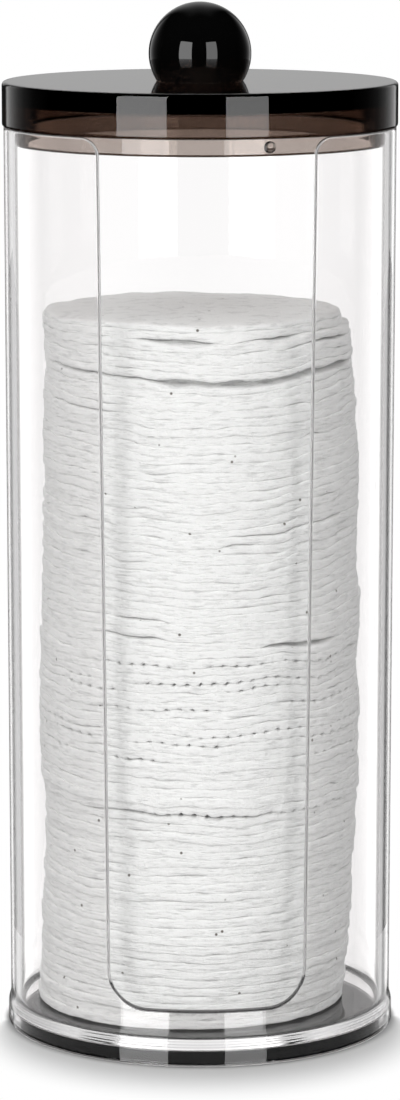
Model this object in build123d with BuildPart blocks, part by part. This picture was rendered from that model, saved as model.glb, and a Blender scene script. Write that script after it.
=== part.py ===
from build123d import *
import math
import os

# Cotton pad holder: a clear moulded tube with an open finger slot down its front, a smoked lid
# that plugs into the rim, a ball knob bonded to the lid, and the stack of pads that it stores.
# Millimetres. +Z up, the origin is the centre of the foot ring on the table, the slot faces -Y.

# Tube
tube_height = 168.2        # table to rim
rim_radius = 36.0          # outside of the wall at the rim
wall = 1.8
draft_angle = 0.125        # degrees, the wall narrows towards the foot
edge_round = 0.35          # rounds the rim and both edges of the slot

# Foot ring and floor
foot_step = 0.45           # how far the foot ring stands out past the wall above it
foot_wall = 2.0
foot_face_height = 3.4     # straight outer face of the foot ring
foot_edge_round = 0.35     # edge that meets the table
crease_inset = 0.25        # the shoulder's crease, in from the foot's face
crease_height = 4.6
shoulder_top = 6.1         # where the shoulder runs out into the wall
recess_height = 2.8        # hollow under the floor
floor_thickness = 1.7
floor_corner_round = 0.8   # inside, between the floor and the wall

# Finger slot
slot_width = 38.8          # at the rim, without the flare
slot_taper = 0.49          # degrees, each side leans in towards the bottom
slot_bottom = 10.3
slot_corner_radius = 6.5
slot_mouth_radius = 3.4    # the slot's top corners flare out into the rim
slot_mouth_sweep = 70      # degrees that the flare turns before it meets the rim

# Lid
lid_overhang = 0.3         # past the outside of the rim
lid_height = 8.1           # from the seat on the rim to the top face
lid_disc = 3.8             # thickness of the top
lid_seat_gap = 0.1         # left between lid and rim by the mould's tolerance
lid_top_round = 0.8
lid_skirt_round = 0.5
plug_clearance = 0.2       # radial, between the plug ring and the bore
plug_wall = 1.8
plug_depth = 3.1           # how far the plug ring reaches into the tube
plug_edge_round = 0.4
gate_mark_radius = 1.1     # round mould mark that stands out of the plug ring
gate_mark_height = 0.08
gate_mark_angle = 19.0     # degrees from the slot's middle towards +X

# Knob
knob_radius = 9.4
knob_rise = 5.0            # ball's centre above the lid's top face
spigot_radius = 3.0
spigot_length = 2.2
bond_gap = 0.05            # adhesive around and under the spigot

# Pads
pad_count = 80
pad_radius = 29.0
pad_thickness = 1.58
pad_gap = 0.05             # air between neighbours in the loose stack
pad_floor_gap = 0.3        # the soft stack stays clear of the floor
stack_wander = 0.9         # how far the stack strays off the axis
stack_wander_turns = 2.3   # how often it does so from bottom to top

floor_top = recess_height + floor_thickness
lid_seat = tube_height + lid_seat_gap
lid_top = lid_seat + lid_height
lid_underside = lid_top - lid_disc
plug_bottom = tube_height - plug_depth
lid_radius = rim_radius + lid_overhang
same_height = 0.01         # edges closer than this lie at one height


def wall_radius(z):
    """Outside radius of the drafted wall at height z."""
    return rim_radius - (tube_height - z) * math.tan(math.radians(draft_angle))


def bore_radius(z):
    """Inside radius of the drafted wall at height z."""
    return wall_radius(z) - wall


def slot_half_width(z):
    """Half of the tapered finger slot's width at height z."""
    return slot_width / 2 - (tube_height - z) * math.tan(math.radians(slot_taper))


foot_radius = wall_radius(shoulder_top) + foot_step
os.makedirs("parts", exist_ok=True)

# Tube: one revolved profile with its foot ring and floor, then the finger slot is cut out.
with BuildPart() as tube:
    with BuildSketch(Plane.XZ):
        with BuildLine():
            Polyline(
                (wall_radius(shoulder_top), shoulder_top),
                (rim_radius, tube_height),
                (bore_radius(tube_height), tube_height),
                (bore_radius(floor_top), floor_top),
                (0, floor_top),
                (0, recess_height),
                (foot_radius - foot_wall, recess_height),
                (foot_radius - foot_wall, 0),
                (foot_radius, 0),
                (foot_radius, foot_face_height),
            )
            crease = (foot_radius - crease_inset, crease_height)
            TangentArc((foot_radius, foot_face_height), crease, tangent=(0, 1))
            TangentArc((wall_radius(shoulder_top), shoulder_top), crease, tangent=(0, -1))
        make_face()
    revolve(axis=Axis.Z)
    rings = tube.edges().filter_by(GeomType.CIRCLE)
    fillet(rings.group_by(Axis.Z)[0].sort_by(SortBy.RADIUS)[-1], foot_edge_round)
    rings = tube.edges().filter_by(GeomType.CIRCLE)
    fillet(rings.filter_by(lambda ring: abs(ring.center().Z - floor_top) < same_height), floor_corner_round)

    with BuildSketch(Plane.XZ) as slot_outline:
        with BuildLine():
            taper = math.radians(slot_taper)
            sweep = math.radians(slot_mouth_sweep)
            flare_start = tube_height - slot_mouth_radius * (math.sin(taper + sweep) - math.sin(taper))
            Polyline(
                (0, slot_bottom),
                (slot_half_width(slot_bottom), slot_bottom),
                (slot_half_width(flare_start), flare_start),
            )
            flare = JernArc(
                start=(slot_half_width(flare_start), flare_start),
                tangent=(math.tan(taper), 1),
                radius=slot_mouth_radius,
                arc_size=slot_taper - 90,  # on until it is level, just above the rim
            )
            above_rim = tube_height + slot_mouth_radius
            Polyline(flare @ 1, ((flare @ 1).X, above_rim), (0, above_rim), (0, slot_bottom))
        make_face()
        right_corners = slot_outline.vertices().filter_by(lambda vertex: vertex.X > wall)
        fillet(right_corners.sort_by(Axis.Y)[0], slot_corner_radius)
        mirror(about=Plane.YZ)
    extrude(amount=foot_radius + wall, mode=Mode.SUBTRACT)
    curved = tube.edges().filter_by(GeomType.LINE, reverse=True)
    rim_and_slot = curved.filter_by(lambda edge: edge.center().Z > shoulder_top + edge_round)
    fillet(rim_and_slot, edge_round)
tube.part.label = "tube"
export_step(tube.part, "parts/tube.step")

# Lid: top disc, skirt that sits on the rim, plug ring inside the bore, and the knob's socket.
with BuildPart() as lid:
    plug_radius = bore_radius(tube_height) - plug_clearance
    with BuildSketch(Plane.XZ):
        with BuildLine():
            Polyline(
                (0, lid_top),
                (lid_radius, lid_top),
                (lid_radius, lid_seat),
                (plug_radius, lid_seat),
                (plug_radius, plug_bottom),
                (plug_radius - plug_wall, plug_bottom),
                (plug_radius - plug_wall, lid_underside),
                (0, lid_underside),
                close=True,
            )
        make_face()
    revolve(axis=Axis.Z)
    fillet(lid.edges().filter_by(GeomType.CIRCLE).group_by(Axis.Z)[-1], lid_top_round)
    rings = lid.edges().filter_by(GeomType.CIRCLE)
    seat_rings = rings.filter_by(lambda ring: abs(ring.center().Z - lid_seat) < same_height)
    fillet(seat_rings.sort_by(SortBy.RADIUS)[-1], lid_skirt_round)
    fillet(lid.edges().filter_by(GeomType.CIRCLE).group_by(Axis.Z)[0], plug_edge_round)
    with BuildSketch(Plane.XY.offset(lid_top)):
        Circle(spigot_radius + bond_gap)
    extrude(amount=-(spigot_length + bond_gap), mode=Mode.SUBTRACT)
    gate_height = (plug_bottom + lid_seat) / 2
    gate_facing = Plane.XZ.rotated((0, 0, gate_mark_angle)).offset(plug_radius - plug_wall / 2)
    with BuildSketch(gate_facing):
        with Locations((0, gate_height)):
            Circle(gate_mark_radius)
    extrude(amount=plug_wall / 2 + gate_mark_height)
lid.part.label = "lid"
export_step(lid.part, "parts/lid.step")

# Knob: a ball cut flat where it sits on the lid, with the spigot that is bonded into the socket.
with BuildPart() as knob:
    with BuildSketch(Plane.XZ):
        with BuildLine():
            below_equator = math.degrees(math.asin(knob_rise / knob_radius))
            ball = CenterArc((0, lid_top + knob_rise), knob_radius, 90, -90 - below_equator)
            Polyline(
                ball @ 1,
                (spigot_radius, lid_top),
                (spigot_radius, lid_top - spigot_length),
                (0, lid_top - spigot_length),
                ball @ 0,
            )
        make_face()
    revolve(axis=Axis.Z)
knob.part.label = "knob"
export_step(knob.part, "parts/knob.step")

# Pads: a loose stack of discs that strays a little off the axis.
pad_pitch = pad_thickness + pad_gap
stack_base = floor_top + pad_floor_gap
with BuildPart() as cotton_pads:
    places = []
    for index in range(pad_count):
        turn = 2 * math.pi * stack_wander_turns * index / pad_count
        stray_x = stack_wander * math.sin(turn)
        stray_y = stack_wander * math.cos(turn)
        places.append((stray_x, stray_y, stack_base + index * pad_pitch))
    with Locations(*places):
        Cylinder(pad_radius, pad_thickness, align=(Align.CENTER, Align.CENTER, Align.MIN))
cotton_pads.part.label = "cotton_pads"
export_step(cotton_pads.part, "parts/cotton_pads.step")
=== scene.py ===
"""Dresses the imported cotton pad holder: clear tube, smoked lid, ball knob and the stack of pads."""

import math
import random

import bpy
from mathutils import Matrix, Vector, noise


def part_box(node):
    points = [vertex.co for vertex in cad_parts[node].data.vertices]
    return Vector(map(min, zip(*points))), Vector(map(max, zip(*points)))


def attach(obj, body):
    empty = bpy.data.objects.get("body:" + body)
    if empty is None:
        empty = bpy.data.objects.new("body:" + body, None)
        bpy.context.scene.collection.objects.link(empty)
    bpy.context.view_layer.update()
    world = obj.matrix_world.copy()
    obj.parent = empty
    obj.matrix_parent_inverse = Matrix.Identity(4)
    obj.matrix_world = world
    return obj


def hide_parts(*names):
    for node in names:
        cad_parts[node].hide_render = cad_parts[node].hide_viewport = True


bl_info = {
    "name": "Cotton Pad Holder",
    "version": (1, 0, 0),
    "blender": (4, 5, 0),
    "location": "View3D > Sidebar > Pad Holder",
    "description": "Builds the tube, lid, knob and pads of a cotton pad holder on its CAD frame",
    "category": "Object",
}

MM = 0.001
FULL_TURN = 2 * math.pi

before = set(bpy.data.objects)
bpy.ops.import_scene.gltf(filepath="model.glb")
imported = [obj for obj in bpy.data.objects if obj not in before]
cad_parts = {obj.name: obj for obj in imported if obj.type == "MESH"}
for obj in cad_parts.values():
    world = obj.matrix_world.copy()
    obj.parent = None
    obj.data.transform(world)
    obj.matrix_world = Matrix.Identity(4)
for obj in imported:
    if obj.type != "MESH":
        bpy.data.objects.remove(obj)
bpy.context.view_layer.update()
FOOT_RADIUS, _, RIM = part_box("tube")[1]
LID_LOW, LID_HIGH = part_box("lid")
KNOB_LOW, KNOB_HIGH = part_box("knob")
PADS_LOW, PADS_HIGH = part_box("cotton_pads")


# Settings


def linear(hex_colour):
    """The linear colour, with alpha 1, of an sRGB hex value such as "F4F2EF"."""
    channels = []
    for start in (0, 2, 4):
        value = int(hex_colour[start : start + 2], 16) / 255
        channels.append(value / 12.92 if value <= 0.04045 else ((value + 0.055) / 1.055) ** 2.4)
    return (*channels, 1.0)


def length(name, description, default_mm):
    """A length property, given in millimetres and kept in metres."""
    return bpy.props.FloatProperty(
        name=name,
        description=description,
        default=default_mm * MM,
        min=0,
        unit="LENGTH",
        precision=5,
    )


def colour(name, description, hex_colour):
    """A colour property, given as an sRGB hex value."""
    return bpy.props.FloatVectorProperty(
        name=name,
        description=description,
        default=linear(hex_colour),
        size=4,
        min=0,
        max=1,
        subtype="COLOR",
    )


class TubeSettings(bpy.types.PropertyGroup):
    """Sizes and colours of the clear tube."""

    wall: length("Wall", "Thickness of the wall", 1.8)
    rim_radius: length("Rim radius", "Outside of the wall at the rim", 36.0)
    shoulder_radius: length("Shoulder radius", "Outside of the wall above the shoulder", 35.646)
    edge_round: length("Edge round", "Rounding of the rim and of the slot's edges", 0.3)
    foot_wall: length("Foot wall", "Thickness of the foot ring", 2.0)
    foot_face: length("Foot face", "Height of the foot ring's straight face", 3.4)
    foot_round: length("Foot round", "Rounding of the edge that meets the table", 0.35)
    crease_inset: length("Crease inset", "Shoulder's crease, in from the foot's face", 0.25)
    crease_height: length("Crease height", "Shoulder's crease above the table", 4.6)
    shoulder_top: length("Shoulder top", "Where the shoulder runs into the wall", 6.1)
    recess: length("Recess", "Hollow under the floor", 2.8)
    floor_top: length("Floor top", "Inside face of the floor above the table", 4.5)
    floor_corner: length("Floor corner", "Rounding between floor and wall", 0.8)
    slot_half_top: length("Half slot, top", "Half of the slot's width at the rim", 19.12)
    slot_half_bottom: length("Half slot, bottom", "Half of the slot's width at its bottom", 17.6)
    slot_bottom: length("Slot bottom", "Bottom of the slot above the table", 10.3)
    slot_corner: length("Slot corner", "Radius of the slot's bottom corners", 6.5)
    slot_mouth: length("Slot mouth", "Radius of the flare at the rim", 3.2)
    tint: colour("Tint", "Faint tint of the clear plastic", "FDFCFC")
    # Painted shade: a dark tint on the slot's bottom edge that stands in for the dark seen through
    # it.
    low_edge_painted_shade: colour("Low tint", "Dark look of the slot's bottom edge", "504E50")
    edge_blur: bpy.props.FloatProperty(
        name="Edge blur",
        description="Roughness of the rim's and the slot's edge",
        default=0.12,
        min=0,
        max=1,
    )


class LidSettings(bpy.types.PropertyGroup):
    """Sizes and colours of the smoked lid and its knob."""

    disc: length("Disc", "Thickness of the top", 3.8)
    top_round: length("Top round", "Rounding of the top's edge", 0.8)
    skirt_round: length("Skirt round", "Rounding of the skirt's lower edge", 0.5)
    plug_radius: length("Plug radius", "Outside of the plug ring", 34.0)
    plug_wall: length("Plug wall", "Thickness of the plug ring", 1.8)
    plug_round: length("Plug round", "Rounding of the plug ring's edges", 0.4)
    seat: length("Seat", "Height of the skirt's lower face", 168.3)
    socket_radius: length("Socket radius", "Blind hole for the knob's spigot", 3.05)
    socket_depth: length("Socket depth", "Depth of that hole", 2.25)
    gate_radius: length("Gate radius", "Mould mark on the plug ring", 1.1)
    smoke: colour("Smoke", "Colour that the smoke tint lets through", "B3A092")
    smoke_density: bpy.props.FloatProperty(
        name="Smoke density",
        description="How fast the tint darkens, per metre",
        default=800.0,
        min=0,
    )
    knob_radius: length("Knob radius", "Radius of the ball", 9.4)
    spigot_radius: length("Spigot radius", "Radius of the knob's spigot", 3.0)
    ball: colour("Ball", "Colour of the knob", "050505")


class PadSettings(bpy.types.PropertyGroup):
    """Number and colours of the pads."""

    count: bpy.props.IntProperty(name="Count", description="Pads in the stack", default=80, min=1)
    cotton: colour("Cotton", "Colour of the cotton", "ECECEB")
    # Painted shade: the colour the cotton darkens to in the hollows between its fibre layers.
    shade: colour("Shade", "Colour of the cotton in its hollows", "D6D6D5")


class HolderSettings(bpy.types.PropertyGroup):
    """All settings of the pad holder."""

    tube: bpy.props.PointerProperty(type=TubeSettings, name="Tube", description="The clear tube")
    lid: bpy.props.PointerProperty(type=LidSettings, name="Lid", description="The lid and its knob")
    pads: bpy.props.PointerProperty(type=PadSettings, name="Pads", description="The stack of pads")


# Node and mesh tools

SUPPORT = 1.5  # support points stand this many roundings off a corner
SMALL_ROUND = 0.15 * MM  # an edge or inner corner that looks sharp
FADE_IN = {"interpolation_type": "SMOOTHSTEP"}
FADE_OUT = {"interpolation_type": "SMOOTHSTEP", "To Min": 1.0, "To Max": 0.0}


def add_node(tree, kind, settings=None, links=None):
    """Adds a node with its settings, and links its inputs to sockets or to nodes' first outputs."""
    node = tree.nodes.new(kind)
    for key, value in (settings or {}).items():
        if isinstance(key, str) and hasattr(node, key):
            setattr(node, key, value)
        else:
            node.inputs[key].default_value = value
    for key, source in (links or {}).items():
        if isinstance(source, bpy.types.Node):
            source = source.outputs[0]
        tree.links.new(source, node.inputs[key])
    return node


def new_material(name):
    """An empty node material and its tree."""
    material = bpy.data.materials.new(name)
    material.use_nodes = True
    material.node_tree.nodes.clear()
    return material, material.node_tree


def add_piece(name, points, faces, body, materials, node=None):
    """Makes a smooth mesh object that rides on a body and, where node is given, stands for it."""
    mesh = bpy.data.meshes.new(name)
    mesh.from_pydata(points, [], faces)
    mesh.update()
    for material in materials:
        mesh.materials.append(material)
    mesh.shade_smooth()
    piece = bpy.data.objects.new(name, mesh)
    bpy.context.scene.collection.objects.link(piece)
    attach(piece, body)
    if node:
        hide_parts(node)
    return piece


def lathe(columns):
    """Points and faces of a closed skin over columns that share their first and last points."""
    rows = len(columns[0]) - 2
    count = len(columns)
    points = [columns[0][0]]
    for column in columns:
        points.extend(column[1:-1])
    points.append(columns[0][-1])
    last = len(points) - 1
    faces = []
    for index in range(count):
        here = 1 + index * rows
        there = 1 + (index + 1) % count * rows
        faces.append((0, there, here))
        for row in range(rows - 1):
            faces.append((here + row, there + row, there + row + 1, here + row + 1))
        faces.append((here + rows - 1, there + rows - 1, last))
    return points, faces


def at_angle(profile, angle):
    """Places (radius, height) points in the half-plane at an angle from -Y towards +X."""
    return [(r * math.sin(angle), -r * math.cos(angle), z) for r, z in profile]


def turned(profile, count=256):
    """A lathe's columns, the same profile all round."""
    return [at_angle(profile, FULL_TURN * index / count) for index in range(count)]


def bend(start, corner, end, steps):
    """Points of a smooth bend from start to end that is pulled to the corner."""
    points = []
    for step in range(steps + 1):
        t = step / steps
        points.append(start * (1 - t) ** 2 + corner * 2 * t * (1 - t) + end * t**2)
    return points


def rounded(corners, steps=5):
    """A profile through (radius, height, rounding) corners, with support points at its bends."""
    profile = [corners[0][:2]]
    for before, here, after in zip(corners, corners[1:], corners[2:]):
        corner = Vector(here[:2])
        reach = here[2]
        if reach == 0:
            profile.append(tuple(corner))
            continue
        back = (Vector(before[:2]) - corner).normalized() * reach
        on = (Vector(after[:2]) - corner).normalized() * reach
        profile.append(tuple(corner + back * SUPPORT))
        profile.extend(tuple(p) for p in bend(corner + back, corner, corner + on, steps))
        profile.append(tuple(corner + on * SUPPORT))
    profile.append(corners[-1][:2])
    return profile


def upright_arc(start, end, steps=6):
    """Points of the arc that leaves start straight up or down and meets end."""
    across = end[0] - start[0]
    along = end[1] - start[1]
    radius = (across**2 + along**2) / (2 * across)
    sweep = math.asin(max(-1.0, min(1.0, along / radius)))
    points = []
    for step in range(steps + 1):
        angle = sweep * step / steps
        x = start[0] + radius * (1 - math.cos(angle))
        points.append((x, start[1] + radius * math.sin(angle)))
    return points


# Materials

ACRYLIC_IOR = 1.49
WALL_THROUGH = 0.96  # share of the lamps' light that passes a polished wall
EDGE_THROUGH = 0.3  # and a rounded edge
EDGE_CLARITY = 0.72  # the rest of a rounded edge looks milky
FIBRE_LAYER = 0.45 * MM  # spacing of the fibre layers along a pad's edge
FIBRE_RUN = 3.2 * MM  # how far a layer can be followed
FIBRE_CLUMP = 0.5 * MM  # width of the fine fuzz
FUZZ_SHARE = 0.6  # the fuzz's height beside that of the layers
FIBRE_RELIEF = 0.4 * MM
HUSK_SPACING = 4.6 * MM  # between specks of husk inside the wadding


def acrylic_surface(tree, tint, clarity, roughness, through):
    """Acrylic that lets lamps, and light that bounced off a dull surface, pass straight on."""
    glass = add_node(
        tree,
        "ShaderNodeBsdfPrincipled",
        {
            "Base Color": tint,
            "Roughness": roughness,
            "IOR": ACRYLIC_IOR,
            "Transmission Weight": clarity,
        },
    )
    path = add_node(tree, "ShaderNodeLightPath")
    either = add_node(
        tree,
        "ShaderNodeMath",
        {"operation": "MAXIMUM"},
        {0: path.outputs["Is Shadow Ray"], 1: path.outputs["Is Diffuse Ray"]},
    )
    clear = add_node(tree, "ShaderNodeBsdfTransparent", {"Color": (through, through, through, 1.0)})
    return add_node(tree, "ShaderNodeMixShader", {}, {0: either, 1: glass, 2: clear})


def clear_acrylic(name, tint, clarity, roughness, through):
    """Clear acrylic, moulded in a polished tool: water-clear, with bright hard reflections."""
    material, tree = new_material(name)
    surface = acrylic_surface(tree, tint, clarity, roughness, through)
    add_node(tree, "ShaderNodeOutputMaterial", {}, {"Surface": surface})
    return material


def smoked_acrylic(smoke, density):
    """Acrylic with a brown-grey smoke tint: thin walls look tea-coloured, thick ones black."""
    material, tree = new_material("smoked_acrylic_moulded")
    surface = acrylic_surface(tree, linear("FFFFFF"), 1.0, 0.0, WALL_THROUGH)
    tint = add_node(tree, "ShaderNodeVolumeAbsorption", {"Color": smoke, "Density": density})
    add_node(tree, "ShaderNodeOutputMaterial", {}, {"Surface": surface, "Volume": tint})
    return material


def black_acrylic(ball):
    """The same smoke tint in a solid ball: too deep to see through, so polished black."""
    material, tree = new_material("black_acrylic_polished")
    gloss = add_node(
        tree, "ShaderNodeBsdfPrincipled", {"Base Color": ball, "Roughness": 0.0, "IOR": ACRYLIC_IOR}
    )
    add_node(tree, "ShaderNodeOutputMaterial", {}, {"Surface": gloss})
    return material


def cotton_wadding(cotton, shade):
    """Unspun cotton pressed into pads: matt and soft, fibres lie along the edge in fine layers, with
    painted shade in the hollows between them.
    """
    material, tree = new_material("cotton_wadding_pressed")
    place = add_node(tree, "ShaderNodeTexCoord")
    along = add_node(
        tree,
        "ShaderNodeMapping",
        {"Scale": (1 / FIBRE_RUN, 1 / FIBRE_RUN, 1 / FIBRE_LAYER)},
        {"Vector": place.outputs["Object"]},
    )
    layers = add_node(
        tree,
        "ShaderNodeTexNoise",
        {"Scale": 1.0, "Detail": 4.0, "Roughness": 0.65},
        {"Vector": along},
    )
    fibres = add_node(
        tree,
        "ShaderNodeTexNoise",
        {"Scale": 1 / FIBRE_CLUMP, "Detail": 3.0, "Roughness": 0.6},
        {"Vector": place.outputs["Object"]},
    )
    fuzz = add_node(
        tree,
        "ShaderNodeMath",
        {"operation": "MULTIPLY_ADD", 1: FUZZ_SHARE},
        {0: fibres.outputs["Fac"], 2: layers.outputs["Fac"]},
    )
    bump = add_node(
        tree, "ShaderNodeBump", {"Strength": 0.85, "Distance": FIBRE_RELIEF}, {"Height": fuzz}
    )
    # Painted shade: where the layers' noise is low, in the bump's hollows, the colour darkens towards
    # the shade colour.
    hollow = add_node(
        tree,
        "ShaderNodeMapRange",
        {**FADE_IN, "From Min": 0.33, "From Max": 0.5},
        {"Value": layers.outputs["Fac"]},
    )
    # Specks of seed husk, about 0.5 mm wide. Few lie in the surface, so they show 15 mm apart.
    husks = add_node(
        tree,
        "ShaderNodeTexVoronoi",
        {"Scale": 1 / HUSK_SPACING},
        {"Vector": place.outputs["Object"]},
    )
    speck = add_node(
        tree,
        "ShaderNodeMapRange",
        {"From Min": 0.04, "From Max": 0.075},
        {"Value": husks.outputs["Distance"]},
    )
    fibres_with_painted_shade = add_node(
        tree, "ShaderNodeMix", {"data_type": "RGBA", 6: shade, 7: cotton}, {0: hollow}
    )
    colour_mix = add_node(
        tree,
        "ShaderNodeMix",
        {"data_type": "RGBA", 6: linear("6A655F")},
        {0: speck, 7: fibres_with_painted_shade.outputs[2]},
    )
    cloth = add_node(
        tree,
        "ShaderNodeBsdfPrincipled",
        {"Roughness": 1.0, "Specular IOR Level": 0.1, "Sheen Weight": 0.65, "Sheen Roughness": 0.5},
        {"Base Color": colour_mix.outputs[2], "Normal": bump},
    )
    add_node(tree, "ShaderNodeOutputMaterial", {}, {"Surface": cloth})
    return material


# Tube

# Steps along the parts of the tube's open edge, and across each of its two rounded corners.
BOTTOM_STEPS = 8
CORNER_STEPS = 16
SIDE_STEPS = 12
MOUTH_STEPS = 12
RIM_STEPS = 300
ROUND_STEPS = 4
# Support points keep the flat wall's shading off the rounded edge and off the shoulder.
EDGE_SUPPORT = 0.32 * MM
SHOULDER_SUPPORT = 0.8 * MM
WALL_SHARES = (0.1, 0.2, 0.35, 0.5, 0.65, 0.8)
# The slot's bottom edge gets the dark tint of painted shade.
LOW_EDGE_SHARE = 0.7  # of the slot's corners that its dark bottom edge climbs


def tube_radius(size, z):
    """Outside radius of the drafted wall at height z."""
    share = (z - size.shoulder_top) / (RIM - size.shoulder_top)
    return size.shoulder_radius + (size.rim_radius - size.shoulder_radius) * share


def slot_outline(size):
    """(x, z) along the slot's right half, from the middle of its bottom to the rim."""
    mouth_start = RIM - size.slot_mouth
    lean = (size.slot_half_top - size.slot_half_bottom) / (mouth_start - size.slot_bottom)
    reach = size.slot_corner
    flat = size.slot_half_bottom - reach
    points = [(flat * step / BOTTOM_STEPS, size.slot_bottom) for step in range(BOTTOM_STEPS)]
    centre = Vector((flat, size.slot_bottom + reach))
    for step in range(CORNER_STEPS + 1):
        angle = (math.pi / 2 - math.atan(lean)) * step / CORNER_STEPS
        points.append((centre.x + reach * math.sin(angle), centre.y - reach * math.cos(angle)))
    low = Vector(points[-1])
    top = Vector((size.slot_half_top, mouth_start))
    for step in range(1, SIDE_STEPS):
        points.append(tuple(low + (top - low) * step / SIDE_STEPS))
    mouth = (size.slot_half_top + size.slot_mouth, RIM)
    return points + upright_arc((size.slot_half_top, mouth_start), mouth, MOUTH_STEPS)


def on_wall(radius, x, z):
    """The point of a round wall of that radius, on its -Y side, at x and z."""
    return Vector((x, -math.sqrt(radius**2 - x**2), z))


def tube_edge(size):
    """(outer point, inner point) pairs once round the tube's open edge: slot and rim."""
    right = []
    for x, z in slot_outline(size):
        radius = tube_radius(size, z)
        right.append((on_wall(radius, x, z), on_wall(radius - size.wall, x, z)))
    left = [
        [Vector((-point.x, point.y, point.z)) for point in pair] for pair in reversed(right[1:])
    ]
    mouth_x = size.slot_half_top + size.slot_mouth
    rim = []
    for step in range(1, RIM_STEPS):
        pair = []
        for radius in (size.rim_radius, size.rim_radius - size.wall):
            start = math.asin(mouth_x / radius)
            angle = start + (FULL_TURN - 2 * start) * step / RIM_STEPS
            pair.append(Vector(at_angle([(radius, RIM)], angle)[0]))
        rim.append(pair)
    return right + rim + left


def wall_rows(length):
    """Where a wall of that length has its points, as shares of the way down."""
    # Under the slot the wall is short, and its support points stand closer to its ends.
    start = min(0.08, EDGE_SUPPORT / length)
    end = min(0.15, SHOULDER_SUPPORT / length)
    low = WALL_SHARES[-1]
    last = [low + (1 - low - end) * step / 3 for step in (1, 2, 3)]
    return [0.0, start, max(0.02, start + 0.01), *WALL_SHARES, *last]


def down_the_wall(size, point, inset):
    """Points from one on the wall's edge down to near the shoulder, and the angle they stand at."""
    angle = math.atan2(point.x, -point.y)
    bottom_radius = tube_radius(size, size.shoulder_top) - inset
    foot = Vector(at_angle([(bottom_radius, size.shoulder_top)], angle)[0])
    return [point.lerp(foot, row) for row in wall_rows((foot - point).length)], angle


def onto_wall(size, point, inset):
    """The point moved level to the wall's outside, or inset from it."""
    flat = Vector((point.x, point.y)).normalized() * (tube_radius(size, point.z) - inset)
    return Vector((flat.x, flat.y, point.z))


def into_the_wall(along, point):
    """The direction in the wall's face that is square to the edge at a point."""
    return along.cross(Vector((point.x, point.y, 0)).normalized()).normalized()


def tube_column(size, outer, inner, along, outside, inside):
    """One column of the tube's skin through a point of its open edge."""
    reach = size.edge_round
    into = into_the_wall(along, outer)
    # It points down, or away from the slot where the edge is nearly upright.
    if into.z > 0 or (abs(into.z) < 0.5 and into.x * outer.x < 0):
        into = -into
    into_inner = into_the_wall(along, inner)
    if into_inner.dot(into) < 0:
        into_inner = -into_inner
    across = (inner - outer).normalized() * reach
    outer_start = onto_wall(size, outer + into * reach, 0)
    inner_start = onto_wall(size, inner + into_inner * reach, size.wall)
    wall_out, angle_out = down_the_wall(size, outer_start, 0)
    wall_in, angle_in = down_the_wall(size, inner_start, size.wall)
    return [
        *(Vector(p) for p in at_angle(outside, angle_out)),
        *wall_out[:0:-1],
        *bend(outer_start, outer, outer + across, ROUND_STEPS),
        *bend(inner - across, inner, inner_start, ROUND_STEPS),
        *wall_in[1:],
        *(Vector(p) for p in at_angle(inside, angle_in)),
    ]


def tube_columns(size):
    """The tube's skin as columns from under its floor to inside, and its rounded edge's rows."""
    foot_inner = FOOT_RADIUS - size.foot_wall
    crease = (FOOT_RADIUS - size.crease_inset, size.crease_height)
    shoulder = (tube_radius(size, size.shoulder_top), size.shoulder_top)
    under = rounded(
        [
            (0, size.recess, 0),
            (foot_inner * 0.5, size.recess, 0),
            (foot_inner, size.recess, 2 * SMALL_ROUND),
            (foot_inner, 0, SMALL_ROUND),
            (FOOT_RADIUS, 0, size.foot_round),
            (FOOT_RADIUS, size.foot_face, 0),
        ]
    )
    lower = upright_arc((FOOT_RADIUS, size.foot_face), crease)
    upper = upright_arc(shoulder, crease)[::-1]
    outside = under + lower[1:] + upper[1:]
    floor_inner = tube_radius(size, size.floor_top) - size.wall
    inside = rounded(
        [
            (shoulder[0] - size.wall, size.shoulder_top + SMALL_ROUND, 0),
            (floor_inner, size.floor_top, size.floor_corner),
            (floor_inner * 0.5, size.floor_top, 0),
            (0, size.floor_top, 0),
        ]
    )
    edge = tube_edge(size)
    columns = []
    for index, (outer, inner) in enumerate(edge):
        after = edge[(index + 1) % len(edge)]
        along = (after[0] - edge[index - 1][0]).normalized()
        columns.append(tube_column(size, outer, inner, along, outside, inside))
    # A wall has the same number of rows at any length.
    first = len(outside) + len(wall_rows(RIM)) - 1
    return columns, range(first, first + 2 * ROUND_STEPS + 1)


class PADHOLDER_OT_tube(bpy.types.Operator):
    """Build the clear tube with its foot ring, floor and finger slot"""

    bl_idname = "pad_holder.tube"
    bl_label = "Tube"

    def execute(self, context):
        size = context.scene.pad_holder.tube
        columns, edge_rows = tube_columns(size)
        points, faces = lathe(columns)
        wall = clear_acrylic("clear_acrylic_moulded", size.tint, 1.0, 0.0, WALL_THROUGH)
        # The rounded edge bends the lamps' light aside, so it looks grey and throws a soft shadow.
        edge = clear_acrylic(
            "clear_acrylic_edge", size.tint, EDGE_CLARITY, size.edge_blur, EDGE_THROUGH
        )
        # Seen from above, the slot's bottom edge looks down the wall into the dark under the foot,
        # and that dark is painted shade in its tint.
        low_edge = clear_acrylic("clear_acrylic_low_edge_painted_shade", size.low_edge_painted_shade, 1.0, 0.0, EDGE_THROUGH)
        piece = add_piece(
            "clear_tube", points, faces, "tube", [wall, edge, low_edge], "tube"
        )
        faces_per_column = len(columns[0]) - 1
        low_end = size.slot_bottom + size.slot_corner * LOW_EDGE_SHARE
        for index, column in enumerate(columns):
            is_low = column[edge_rows[0]].z < low_end
            for row in edge_rows:
                face = piece.data.polygons[index * faces_per_column + row]
                face.material_index = 2 if is_low else 1
        return {"FINISHED"}


# Lid and knob

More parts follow.
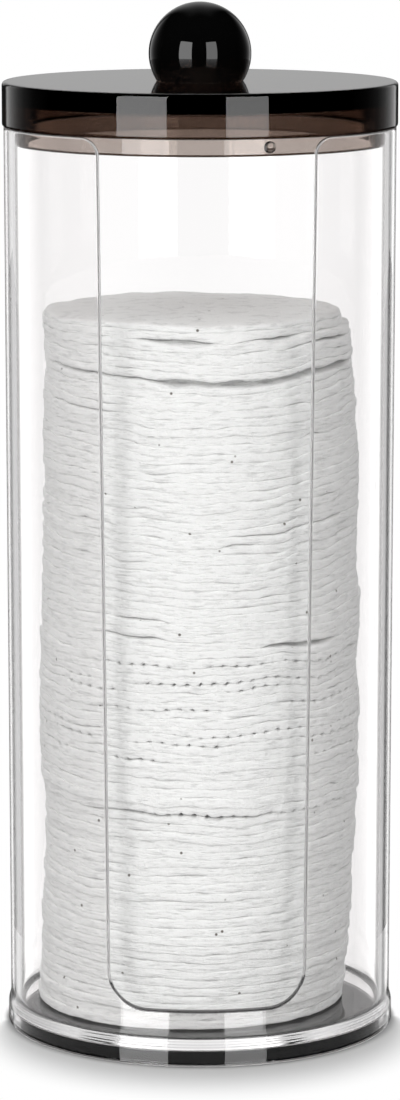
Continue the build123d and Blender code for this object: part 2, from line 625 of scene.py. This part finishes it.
GATE_ANGLE = math.radians(19.0)  # mould mark's place, from the slot's middle towards +X
GATE_DEPTH = 0.2 * MM  # how far it reaches into the plug ring
GATE_HEIGHT = 0.08 * MM  # how far it stands out of the ring
GATE_ROUND = 0.06 * MM
BALL_STEPS = 64
BALL_HOLLOW = 0.02 * MM  # the ball's flat is that hollow, so that only its edge meets the lid


class PADHOLDER_OT_lid(bpy.types.Operator):
    """Build the smoked lid with its skirt and plug ring"""

    bl_idname = "pad_holder.lid"
    bl_label = "Lid"

    def execute(self, context):
        size = context.scene.pad_holder.lid
        radius = LID_HIGH[0]
        top = LID_HIGH[2]
        bottom = LID_LOW[2]
        under = top - size.disc
        plug_inner = size.plug_radius - size.plug_wall
        profile = rounded(
            [
                (0, under, 0),
                (plug_inner * 0.5, under, 0),
                (plug_inner, under, 2 * SMALL_ROUND),
                (plug_inner, bottom, size.plug_round),
                (size.plug_radius, bottom, size.plug_round),
                (size.plug_radius, size.seat, SMALL_ROUND),
                (radius, size.seat, size.skirt_round),
                (radius, top, size.top_round),
                (size.socket_radius * 3, top, 0),
                (size.socket_radius, top, SMALL_ROUND),
                (size.socket_radius, top - size.socket_depth, SMALL_ROUND),
                (0, top - size.socket_depth, 0),
            ]
        )
        points, faces = lathe(turned(profile))
        smoke = smoked_acrylic(size.smoke, size.smoke_density)
        add_piece("smoked_lid", points, faces, "lid", [smoke], "lid")
        mark = rounded(
            [
                (0, -GATE_DEPTH, 0),
                (size.gate_radius, -GATE_DEPTH, 0),
                (size.gate_radius, GATE_HEIGHT, GATE_ROUND),
                (0, GATE_HEIGHT, 0),
            ],
            steps=3,
        )
        points, faces = lathe(turned(mark, count=48))
        turn = Matrix.Rotation(GATE_ANGLE, 4, "Z") @ Matrix.Rotation(math.pi / 2, 4, "X")
        raised = Matrix.Translation((0, 0, (bottom + size.seat) / 2))
        place = raised @ turn @ Matrix.Translation((0, 0, size.plug_radius))
        points = [place @ Vector(point) for point in points]
        add_piece("gate_mark", points, faces, "lid", [smoke])
        return {"FINISHED"}


class PADHOLDER_OT_knob(bpy.types.Operator):
    """Build the ball knob and its spigot"""

    bl_idname = "pad_holder.knob"
    bl_label = "Knob"

    def execute(self, context):
        size = context.scene.pad_holder.lid
        radius = size.knob_radius
        lid_top = LID_HIGH[2]
        centre = KNOB_HIGH[2] - radius
        drop = math.asin((centre - lid_top) / radius)
        spigot_end = KNOB_LOW[2]
        profile = [
            (0, spigot_end),
            (size.spigot_radius, spigot_end),
            (size.spigot_radius, lid_top + BALL_HOLLOW),
        ]
        for step in range(BALL_STEPS):
            angle = -drop + (math.pi / 2 + drop) * step / BALL_STEPS
            profile.append((radius * math.cos(angle), centre + radius * math.sin(angle)))
        profile.append((0, KNOB_HIGH[2]))
        points, faces = lathe(turned(profile, count=128))
        black = black_acrylic(size.ball)
        add_piece("ball_knob", points, faces, "lid", [black], "knob")
        return {"FINISHED"}


# Pads

# The stack leans and bulges: (height, radius, its middle's shift in x and in y), in millimetres.
STACK_SHAPE = (
    (4.8, 28.7, -1.7, 1.5),
    (12.0, 28.9, -1.1, 1.0),
    (22.0, 29.0, -0.5, 0.3),
    (41.0, 29.0, 0.0, 0.0),
    (45.0, 29.2, 0.0, 0.0),
    (46.5, 29.7, 0.0, -0.3),
    (60.0, 30.0, -0.1, 0.0),
    (68.0, 29.5, -0.4, 0.0),
    (75.0, 29.8, 0.0, 0.0),
    (85.0, 29.2, 0.0, 0.0),
    (104.0, 29.3, 0.2, 0.0),
    (117.0, 28.9, 0.0, 0.0),
    (127.0, 28.3, -0.3, 0.0),
    (131.0, 28.2, -0.4, 0.0),
    (131.4, 27.6, -1.3, 0.0),
    (136.0, 27.2, -1.4, 0.0),
)
# Its layers dip at the front: (height, dip, unevenness), in millimetres.
STACK_SAG = (
    (4.8, 0.0, 0.0),
    (15.0, 0.1, 0.6),
    (40.0, 0.4, 1.0),
    (80.0, 0.7, 1.2),
    (110.0, 1.2, 1.2),
    (124.0, 1.6, 1.2),
    (131.0, 0.9, 0.9),
    (136.0, 0.1, 0.5),
)
# Where pads have slipped apart: (layer, from degree, to degree, depth, opening), in millimetres.
# Degrees run from the front towards +X.
STACK_GAPS = (
    (78, -26, 8, 2.2, 0.5),
    (78, 18, 44, 1.5, 0.3),
    (77, 40, 75, 1.0, 0.3),
    (74, -22, 78, 3.2, 0.85),
    (74, -75, -10, 0.8, 0.15),
    (70, -70, -30, 0.6, 0.1),
    (44, 18, 56, 2.4, 0.5),
    (45, -45, -10, 0.9, 0.15),
    (47, -38, -12, 0.8, 0.12),
    (57, 5, 60, 0.5, 0.08),
    (25, -50, 30, 0.7, 0.12),
)
GAP_FADE = 12  # degrees over which a gap opens and closes
# Layers whose edges are crimped, with a row of small pits, and the pits' size in millimetres.
CRIMPED_LAYERS = (42, 40, 39, 37, 34, 33, 31, 25)
PITS_PER_TURN = 76
PIT_DEPTH = 2.2
PIT_OPENING = 0.6
# Every groove between two pads, in millimetres: its least depth and opening, how much deeper
# its noise makes it, and the share of its depth that it opens.
GROOVE_DEPTH = 0.08
GROOVE_OPENING = 0.02
GROOVE_NOISE = 0.9
GROOVE_SPREAD = 0.1
# Waves of a layer's rim, in millimetres: (rise, pattern, height over which they last).
LAYER_WAVES = ((0.9, 1.3, 22), (0.55, 3.5, 8), (0.26, 9.0, 2.4), (0.08, 21.0, 1.2))
# Height of the points of a pad's edge, from its lower face at -1 to its upper face at 1.
EDGE_SHARES = (-1.0, -0.93, -0.8, -0.5, 0.0, 0.5, 0.8, 0.93, 1.0)
EDGE_POWER = 6  # the higher, the squarer the edge
PAD_COLUMNS = 420
# How far a pad's radius and place may be off at random, and how far the stack's side and each
# pad's outline wave, in millimetres. Outline: (rise, pattern, step of the noise from pad to pad).
RADIUS_SPREAD = 0.15
SHIFT_SPREAD = 0.12
SIDE_WAVE = 0.4
SIDE_WAVE_HEIGHT = 9 * MM
OUTLINE_WAVES = ((0.2, 6.0, 1.9), (0.1, 22.0, 2.3))
# Rings of points on a pad's faces, as shares of its radius. Only the top pad's face is seen.
UNDER_RINGS = (0.5, 0.9)
OVER_RINGS = (0.9, 0.5)
# The top pad's soft face: its rings, edge, and in metres its rounding, sink, crown and lumps.
TOP_RINGS = (0.9, 0.82, 0.7, 0.55, 0.4, 0.2)
TOP_POWER = 2.5
TOP_ROUND = 1.9 * MM
TOP_SINK = 0.35 * MM
TOP_CROWN = 0.5 * MM
TOP_LUMPS = 0.4 * MM
LUMP_WIDTH = 4 * MM


def between(table, height):
    """A table's values at a height, straight between its rows."""
    for low, high in zip(table, table[1:]):
        if height <= high[0]:
            break
    share = max(0.0, min(1.0, (height - low[0]) / (high[0] - low[0])))
    return [a + (b - a) * share for a, b in zip(low[1:], high[1:])]


def smooth(share):
    """An even start and stop from 0 to 1."""
    share = max(0.0, min(1.0, share))
    return share * share * (3 - 2 * share)


def uneven(direction, pattern, height):
    """Smooth noise round the stack, finer at a larger pattern, and different at each height."""
    return noise.noise(direction * pattern + Vector((0, 0, height)))


def layer_lift(height_mm, direction):
    """How far a layer's rim is off its level height, in millimetres."""
    sag, wave = between(STACK_SAG, height_mm)
    turn = math.atan2(direction.x, -direction.y)
    lift = 0.0
    for rise, pattern, lasting in LAYER_WAVES:
        lift += rise * uneven(direction, pattern, height_mm / lasting)
    return wave * lift - sag * math.cos(2 * turn)


def layer_groove(layer, direction):
    """Depth and opening, in millimetres, of the groove between two pads."""
    degrees = math.degrees(math.atan2(direction.x, -direction.y))
    rough = max(0.0, uneven(direction, 6.0, layer * 3.1) + 0.05)
    depth = GROOVE_DEPTH + GROOVE_NOISE * rough**1.5
    opening = GROOVE_OPENING + GROOVE_SPREAD * depth
    for gap_layer, start, end, gap_depth, gap_opening in STACK_GAPS:
        if layer == gap_layer:
            window = smooth((degrees - start) / GAP_FADE) * smooth((end - degrees) / GAP_FADE)
            window *= 1 + 0.6 * uneven(direction, 7.0, layer * 1.7)
            depth += gap_depth * window
            opening += gap_opening * window
    if layer in CRIMPED_LAYERS:
        pits = max(0.0, math.cos(math.radians(degrees) * PITS_PER_TURN + layer)) ** 3
        pits *= max(0.0, uneven(direction, 2.6, layer * 5.3) + 0.3)
        depth += PIT_DEPTH * pits
        opening += PIT_OPENING * pits
    return depth, opening


def stack_layers(size, directions):
    """For each layer between pads, (height, lift, depth, opening) in each direction, in metres."""
    low = PADS_LOW[2]
    pitch = (PADS_HIGH[2] - low) / size.count
    layers = []
    for layer in range(size.count + 1):
        height = low + layer * pitch
        row = []
        for direction in directions:
            depth, opening = layer_groove(layer, direction)
            row.append((height, layer_lift(height / MM, direction) * MM, depth * MM, opening * MM))
        layers.append(row)
    return layers


def pad_columns(size, index, directions, layers):
    """One pad's skin as columns from its underside's middle, round its edge, to its top's."""
    own = random.Random(index)
    below = layers[index]
    above = layers[index + 1]
    middle = (below[0][0] + above[0][0]) / 2
    radius, off_x, off_y = between(STACK_SHAPE, middle / MM)
    radius += own.uniform(-RADIUS_SPREAD, RADIUS_SPREAD)
    off_x += own.uniform(-SHIFT_SPREAD, SHIFT_SPREAD)
    off_y += own.uniform(-SHIFT_SPREAD, SHIFT_SPREAD)
    centre = Vector((off_x, off_y, 0)) * MM
    is_top = index == size.count - 1
    columns = []
    for step, direction in enumerate(directions):
        low_height, low_lift, low_depth, low_opening = below[step]
        high_height, high_lift, high_depth, high_opening = above[step]
        rim = radius + SIDE_WAVE * uneven(direction, 1.6, middle / SIDE_WAVE_HEIGHT)
        for rise, pattern, noise_step in OUTLINE_WAVES:
            rim += rise * uneven(direction, pattern, index * noise_step)
        rim *= MM
        if is_top:
            high_depth = TOP_ROUND
            high_lift -= TOP_SINK
        start = low_height + low_lift + low_opening / 2
        end = high_height + high_lift - high_opening / 2
        column = [Vector((centre.x, centre.y, low_height))]
        for ring in UNDER_RINGS:
            at = centre + direction * rim * ring
            column.append(Vector((at.x, at.y, low_height + low_lift * ring**2)))
        for share in EDGE_SHARES:
            depth = low_depth if share < 0 else high_depth
            power = TOP_POWER if is_top and share > 0 else EDGE_POWER
            at = centre + direction * (rim - depth * abs(share) ** power)
            column.append(Vector((at.x, at.y, start + (end - start) * (share + 1) / 2)))
        for ring in TOP_RINGS if is_top else OVER_RINGS:
            at = centre + direction * rim * ring
            height = high_height + high_lift * ring**2
            if is_top:
                height += (TOP_LUMPS * noise.noise(at / LUMP_WIDTH) + TOP_CROWN) * (1 - ring)
            column.append(Vector((at.x, at.y, height)))
        column.append(Vector((centre.x, centre.y, high_height)))
        columns.append(column)
    return columns


class PADHOLDER_OT_pads(bpy.types.Operator):
    """Build the stack of cotton pads"""

    bl_idname = "pad_holder.pads"
    bl_label = "Pads"

    def execute(self, context):
        size = context.scene.pad_holder.pads
        directions = [Vector(column[0]) for column in turned([(1, 0)], PAD_COLUMNS)]
        layers = stack_layers(size, directions)
        points = []
        faces = []
        for index in range(size.count):
            own_points, own_faces = lathe(pad_columns(size, index, directions, layers))
            shift = len(points)
            points += own_points
            faces += [tuple(corner + shift for corner in face) for face in own_faces]
        cotton = cotton_wadding(size.cotton, size.shade)
        piece = add_piece("pad_stack", points, faces, "pads", [cotton], "cotton_pads")
        return {"FINISHED"}


# Stage

CAMERA_DISTANCE = 841.5 * MM
CAMERA_HEIGHT = 231.3 * MM
CAMERA_PITCH = math.radians(9.58)
CAMERA_SIDE = math.radians(2.35)
CAMERA_LENS = 150.0
SENSOR_WIDTH = 36
# Softboxes: (name, degrees from -Y towards +X, width, brightness).
SOFTBOXES = (("softbox_left", -35.6, 0.47, 4.2), ("softbox_right", 24.4, 0.39, 3.3))
SOFTBOX_DISTANCE = 0.9
SOFTBOX_LOW = -0.3
SOFTBOX_HIGH = 0.647
# Light passes many faces of clear plastic before it reaches the camera.
CLEAR_BOUNCES = 24
GLOSSY_BOUNCES = 16


def add_camera():
    """The photograph's view: a long lens a little above the lid, just left of the slot's middle."""
    data = bpy.data.cameras.new("camera")
    data.lens = CAMERA_LENS
    data.sensor_width = SENSOR_WIDTH
    camera = bpy.data.objects.new("camera", data)
    camera.location = (
        -CAMERA_DISTANCE * math.sin(CAMERA_SIDE),
        -CAMERA_DISTANCE * math.cos(CAMERA_SIDE),
        CAMERA_HEIGHT,
    )
    camera.rotation_euler = (math.pi / 2 - CAMERA_PITCH, 0, -CAMERA_SIDE)
    bpy.context.scene.collection.objects.link(camera)
    bpy.context.scene.camera = camera


def add_softbox(name, degrees, width, brightness):
    """An upright softbox that faces the holder's axis."""
    data = bpy.data.lights.new(name, "AREA")
    data.shape = "RECTANGLE"
    data.size = width
    data.size_y = SOFTBOX_HIGH - SOFTBOX_LOW
    data.energy = brightness * math.pi * data.size * data.size_y
    lamp = bpy.data.objects.new(name, data)
    turn = math.radians(degrees)
    lamp.location = at_angle([(SOFTBOX_DISTANCE, (SOFTBOX_LOW + SOFTBOX_HIGH) / 2)], turn)[0]
    lamp.rotation_euler = (math.pi / 2, 0, turn)
    bpy.context.scene.collection.objects.link(lamp)


BRIGHTEST = 2.2  # a ramp's stops go up to 1, so they are given as shares of this

# Brightness against degrees from +Y towards +X. Through the clear plastic a white backdrop shows,
# brighter towards its ends, with a black flag on each side of it and a white panel outside each
# flag that fades towards the side. From the other sides a pale wall shows.
SEEN_THROUGH = (
    (-180, 0.85), (-130, 0.75), (-90, 0.45), (-60, 0.3), (-42, 0.45), (-34, 0.75),
    (-30, 0.95), (-26.5, 0.9), (-24, 0.45), (-22, 0.03), (-19, 0.0), (-17.5, 0.9),
    (-15.5, 2.2), (-13, 2.05), (-10, 1.5), (-7, 1.14), (0, 1.02), (7, 1.12),
    (10, 1.45), (13, 1.95), (15.5, 2.1), (17.5, 0.8), (19.5, 0.1), (24, 0.03),
    (27, 0.3), (30, 0.9), (34, 0.75), (42, 0.45), (60, 0.2), (90, 0.25),
    (130, 0.55), (180, 0.85),
)
# The polished faces mirror two panels that fade towards the sides, against a dark room.
SEEN_MIRRORED = (
    (-82, 0.0), (-68, 0.03), (-57, 0.1), (-50, 0.2), (-44, 0.35), (-36, 0.62),
    (-29.5, 1.0), (-27, 0.25), (-24.5, 0.02), (17, 0.01), (19.5, 0.1), (22.5, 0.85),
    (25, 0.88), (33, 0.58), (39, 0.38), (46, 0.2), (55, 0.07), (68, 0.02),
    (82, 0.0),
)
# They mirror a wall behind the holder too: brightness from level, at 0, to straight up, at 1.
SEEN_ABOVE = (
    (0.0, 0.0), (0.02, 0.54), (0.6, 0.5), (0.755, 0.3), (0.857, 0.17), (0.93, 0.1),
    (1.0, 0.0),
)
FLOOR_GLOW = 0.7  # brightness of what the floor and the foot pass on upwards
LEVEL = 0.03  # rays whose direction has a z within this are neither up nor down


def set_stops(elements, stops):
    """Gives a new ramp its (position, brightness) stops."""
    elements.remove(elements[1])
    elements[0].position = stops[0][0]
    for position, _ in stops[1:]:
        elements.new(position)
    for element, (_, brightness) in zip(elements, stops):
        element.color = (brightness, brightness, brightness, 1)


def by_azimuth(tree, turn, stops):
    """Brightness from (degrees off the back, brightness) stops."""
    ramp = add_node(tree, "ShaderNodeValToRGB", {}, {"Fac": turn})
    shares = [(0.5 + degrees / 360, brightness / BRIGHTEST) for degrees, brightness in stops]
    set_stops(ramp.color_ramp.elements, shares)
    scaled = add_node(tree, "ShaderNodeMath", {"operation": "MULTIPLY", 1: BRIGHTEST}, {0: ramp})
    return scaled


def mirrored_room(tree, turn, x, y, z):
    """Brightness of what polished faces mirror."""
    # The panels at the sides fade upwards.
    sides = by_azimuth(tree, turn, SEEN_MIRRORED)
    low = add_node(
        tree, "ShaderNodeMapRange", {**FADE_OUT, "From Min": 0.1, "From Max": 0.55}, {"Value": z}
    )
    panels = add_node(tree, "ShaderNodeMath", {"operation": "MULTIPLY"}, {0: sides, 1: low})
    # The wall stands behind the holder only, and fades to its left and right.
    above = add_node(tree, "ShaderNodeValToRGB", {}, {"Fac": z})
    set_stops(above.color_ramp.elements, SEEN_ABOVE)
    aside = add_node(tree, "ShaderNodeMath", {"operation": "ABSOLUTE"}, {0: x})
    middle = add_node(
        tree, "ShaderNodeMapRange", {**FADE_OUT, "From Min": 0.1, "From Max": 0.4}, {"Value": aside}
    )
    behind = add_node(
        tree, "ShaderNodeMapRange", {**FADE_IN, "From Min": 0.0, "From Max": 0.2}, {"Value": y}
    )
    band = add_node(tree, "ShaderNodeMath", {"operation": "MULTIPLY"}, {0: above, 1: middle})
    wall = add_node(tree, "ShaderNodeMath", {"operation": "MULTIPLY"}, {0: band, 1: behind})
    mirrored = add_node(tree, "ShaderNodeMath", {"operation": "MAXIMUM"}, {0: panels, 1: wall})
    return mirrored


def room_through(tree, turn, z):
    """Brightness of what shows through the clear plastic."""
    backdrop = by_azimuth(tree, turn, SEEN_THROUGH)
    upward = add_node(
        tree, "ShaderNodeMapRange", {"From Min": -LEVEL, "From Max": LEVEL}, {"Value": z}
    )
    # Light that the floor and the foot pass on upwards comes from the whole room, so it is even.
    through = add_node(
        tree, "ShaderNodeMix", {"data_type": "FLOAT", 3: FLOOR_GLOW}, {0: upward, 2: backdrop}
    )
    return through


def room_light(tree, x, y, z):
    """Brightness of the room as it lights the holder: from behind, from the left and from above."""
    to_right = add_node(tree, "ShaderNodeMath", {"operation": "MAXIMUM", 1: 0.0}, {0: x})
    lit_side = add_node(tree, "ShaderNodeMath", {"operation": "SUBTRACT"}, {0: y, 1: to_right})
    backlight = add_node(
        tree,
        "ShaderNodeMapRange",
        {**FADE_IN, "From Min": -0.6, "From Max": 0.6, "To Min": 0.03, "To Max": 0.45},
        {"Value": lit_side},
    )
    skylight = add_node(
        tree, "ShaderNodeMapRange", {**FADE_IN, "From Min": 0.0, "From Max": 0.8}, {"Value": z}
    )
    ambient = add_node(tree, "ShaderNodeMath", {"operation": "ADD"}, {0: backlight, 1: skylight})
    return ambient


def add_world():
    """White behind the holder and dark in front of it, as a backdrop in a dark studio gives."""
    world = bpy.data.worlds.new("studio")
    world.use_nodes = True
    tree = world.node_tree
    tree.nodes.clear()
    path = add_node(tree, "ShaderNodeLightPath")
    place = add_node(tree, "ShaderNodeTexCoord")
    split = add_node(tree, "ShaderNodeSeparateXYZ", {}, {0: place.outputs["Generated"]})
    x, y, z = split.outputs
    azimuth = add_node(tree, "ShaderNodeMath", {"operation": "ARCTAN2"}, {0: x, 1: y})
    # The backdrop stands square to the camera.
    turn = add_node(
        tree,
        "ShaderNodeMath",
        {"operation": "MULTIPLY_ADD", 1: 1 / FULL_TURN, 2: 0.5 - CAMERA_SIDE / FULL_TURN},
        {0: azimuth},
    )
    seen = room_light(tree, x, y, z)
    for ray, brightness in (
        ("Is Glossy Ray", mirrored_room(tree, turn, x, y, z)),
        ("Is Transmission Ray", room_through(tree, turn, z)),
    ):
        seen = add_node(
            tree,
            "ShaderNodeMix",
            {"data_type": "FLOAT"},
            {0: path.outputs[ray], 2: seen, 3: brightness},
        )
    # The camera sees plain white.
    shown = add_node(
        tree,
        "ShaderNodeMix",
        {"data_type": "FLOAT", 3: 1.0},
        {0: path.outputs["Is Camera Ray"], 2: seen},
    )
    light = add_node(tree, "ShaderNodeBackground", {"Color": linear("FFFFFF")}, {"Strength": shown})
    add_node(tree, "ShaderNodeOutputWorld", {}, {"Surface": light})
    bpy.context.scene.world = world


TABLE_CORNERS = ((-0.8, -1.0), (0.8, -1.0), (0.8, 1.2), (-0.8, 1.2))
FOOT_EDGE = 36 * MM  # where the shadow on the table starts
THIN_BESIDE = 2 * MM  # the smaller, the thinner the shadow is beside the foot
SHADOW_FADE = {**FADE_IN, "From Min": 1 * MM, "From Max": 23.5 * MM}
CONTACT_FADE = {**FADE_IN, "From Min": 34 * MM, "From Max": 38 * MM}
UNDER_REACH = 90 * MM  # mirrored rays pass the table this near the axis, and find it black beyond


def table_laminate():
    """White laminate, matt: it shows the holder's shadow, partly cast and partly painted, and fades
    into the white backdrop.
    """
    material, tree = new_material("white_table_laminate")
    place = add_node(tree, "ShaderNodeTexCoord")
    path = add_node(tree, "ShaderNodeLightPath")
    distance = add_node(
        tree, "ShaderNodeVectorMath", {"operation": "LENGTH"}, {0: place.outputs["Object"]}
    ).outputs["Value"]
    split = add_node(tree, "ShaderNodeSeparateXYZ", {}, {0: place.outputs["Object"]})
    # The light comes from behind, so the shadow is painted to lie in front of the foot and to be thin
    # beside it.
    forward = add_node(
        tree, "ShaderNodeMath", {"operation": "MULTIPLY", 1: -1.0}, {0: split.outputs["Y"]}
    )
    ahead = add_node(tree, "ShaderNodeMath", {"operation": "MAXIMUM", 1: THIN_BESIDE}, {0: forward})
    slant = add_node(tree, "ShaderNodeMath", {"operation": "DIVIDE"}, {0: distance, 1: ahead})
    beside = add_node(
        tree, "ShaderNodeMath", {"operation": "SUBTRACT", 1: FOOT_EDGE}, {0: distance}
    )
    before = add_node(tree, "ShaderNodeMath", {"operation": "MULTIPLY"}, {0: beside, 1: slant})
    fade = add_node(tree, "ShaderNodeMapRange", SHADOW_FADE, {"Value": before})
    under = add_node(tree, "ShaderNodeMapRange", CONTACT_FADE, {"Value": distance})
    # The clear plastic lets the lamps' light through, so the contact shadow under the holder is
    # painted into the colour, and the table's grey near the foot is painted shade too.
    shade = add_node(
        tree,
        "ShaderNodeMix",
        {"data_type": "RGBA", 6: linear("0A0A0A"), 7: linear("BDBDBD")},
        {0: under},
    )
    table = add_node(
        tree,
        "ShaderNodeBsdfPrincipled",
        {"Roughness": 0.6, "Specular IOR Level": 0.0},
        {"Base Color": shade.outputs[2]},
    )
    white = add_node(tree, "ShaderNodeEmission", {"Color": linear("FFFFFF"), "Strength": 1.0})
    # A ray that passes through the plastic counts as a glossy one too.
    mirrored = add_node(
        tree,
        "ShaderNodeMath",
        {"operation": "GREATER_THAN"},
        {0: path.outputs["Is Glossy Ray"], 1: path.outputs["Is Transmission Ray"]},
    )
    # Only the foot mirrors what lies under the table, so that the softboxes reach down its face.
    near_foot = add_node(
        tree, "ShaderNodeMath", {"operation": "LESS_THAN", 1: UNDER_REACH}, {0: distance}
    )
    not_mirrored = add_node(
        tree, "ShaderNodeMath", {"operation": "SUBTRACT", 0: 1.0}, {1: mirrored}
    )
    unhindered = add_node(
        tree, "ShaderNodeMath", {"operation": "MAXIMUM"}, {0: near_foot, 1: not_mirrored}
    )
    clear = add_node(tree, "ShaderNodeBsdfTransparent", {}, {"Color": unhindered})
    shown = add_node(
        tree,
        "ShaderNodeMath",
        {"operation": "MULTIPLY"},
        {0: fade, 1: path.outputs["Is Camera Ray"]},
    )
    beyond = add_node(
        tree,
        "ShaderNodeMath",
        {"operation": "MULTIPLY"},
        {0: fade, 1: path.outputs["Is Transmission Ray"]},
    )
    through = add_node(tree, "ShaderNodeMath", {"operation": "MAXIMUM"}, {0: beyond, 1: mirrored})
    surface = table
    for share, other in ((shown, white), (through, clear)):
        surface = add_node(tree, "ShaderNodeMixShader", {}, {0: share, 1: surface, 2: other})
    add_node(tree, "ShaderNodeOutputMaterial", {}, {"Surface": surface})
    return material


def add_floor():
    """The table top that the holder stands on."""
    mesh = bpy.data.meshes.new("table_top")
    mesh.from_pydata([(x, y, 0) for x, y in TABLE_CORNERS], [], [(0, 1, 2, 3)])
    mesh.materials.append(table_laminate())
    floor = bpy.data.objects.new("table_top", mesh)
    bpy.context.scene.collection.objects.link(floor)


class PADHOLDER_OT_stage(bpy.types.Operator):
    """Set up the table, the softboxes, the backdrop and the camera"""

    bl_idname = "pad_holder.stage"
    bl_label = "Stage"

    def execute(self, context):
        context.scene.view_settings.view_transform = "Standard"
        add_camera()
        add_world()
        add_floor()
        for softbox in SOFTBOXES:
            add_softbox(*softbox)
        cycles = context.scene.cycles
        cycles.max_bounces = CLEAR_BOUNCES
        cycles.glossy_bounces = GLOSSY_BOUNCES
        cycles.transmission_bounces = CLEAR_BOUNCES
        cycles.transparent_max_bounces = CLEAR_BOUNCES
        return {"FINISHED"}


# Add-on

OPERATORS = (
    PADHOLDER_OT_stage,
    PADHOLDER_OT_pads,
    PADHOLDER_OT_tube,
    PADHOLDER_OT_lid,
    PADHOLDER_OT_knob,
)


class PADHOLDER_PT_panel(bpy.types.Panel):
    """Lists the holder's settings and the operators that build its pieces"""

    bl_idname = "PADHOLDER_PT_panel"
    bl_label = "Pad Holder"
    bl_space_type = "VIEW_3D"
    bl_region_type = "UI"
    bl_category = "Pad Holder"

    def draw(self, context):
        settings = context.scene.pad_holder
        for group in (settings.tube, settings.lid, settings.pads):
            box = self.layout.box()
            for name in group.bl_rna.properties.keys():
                if name not in ("rna_type", "name"):
                    box.prop(group, name)
        for operator in OPERATORS:
            self.layout.operator(operator.bl_idname)


CLASSES = (TubeSettings, LidSettings, PadSettings, HolderSettings, *OPERATORS, PADHOLDER_PT_panel)


def register():
    """Registers the classes and hangs the settings on the scene."""
    for item in CLASSES:
        bpy.utils.register_class(item)
    bpy.types.Scene.pad_holder = bpy.props.PointerProperty(type=HolderSettings)


def unregister():
    """Takes the settings and the classes away again."""
    del bpy.types.Scene.pad_holder
    for item in reversed(CLASSES):
        bpy.utils.unregister_class(item)


def main():
    register()
    for operator in OPERATORS:
        group, action = operator.bl_idname.split(".")
        getattr(getattr(bpy.ops, group), action)()


if __name__ == "__main__":
    main()
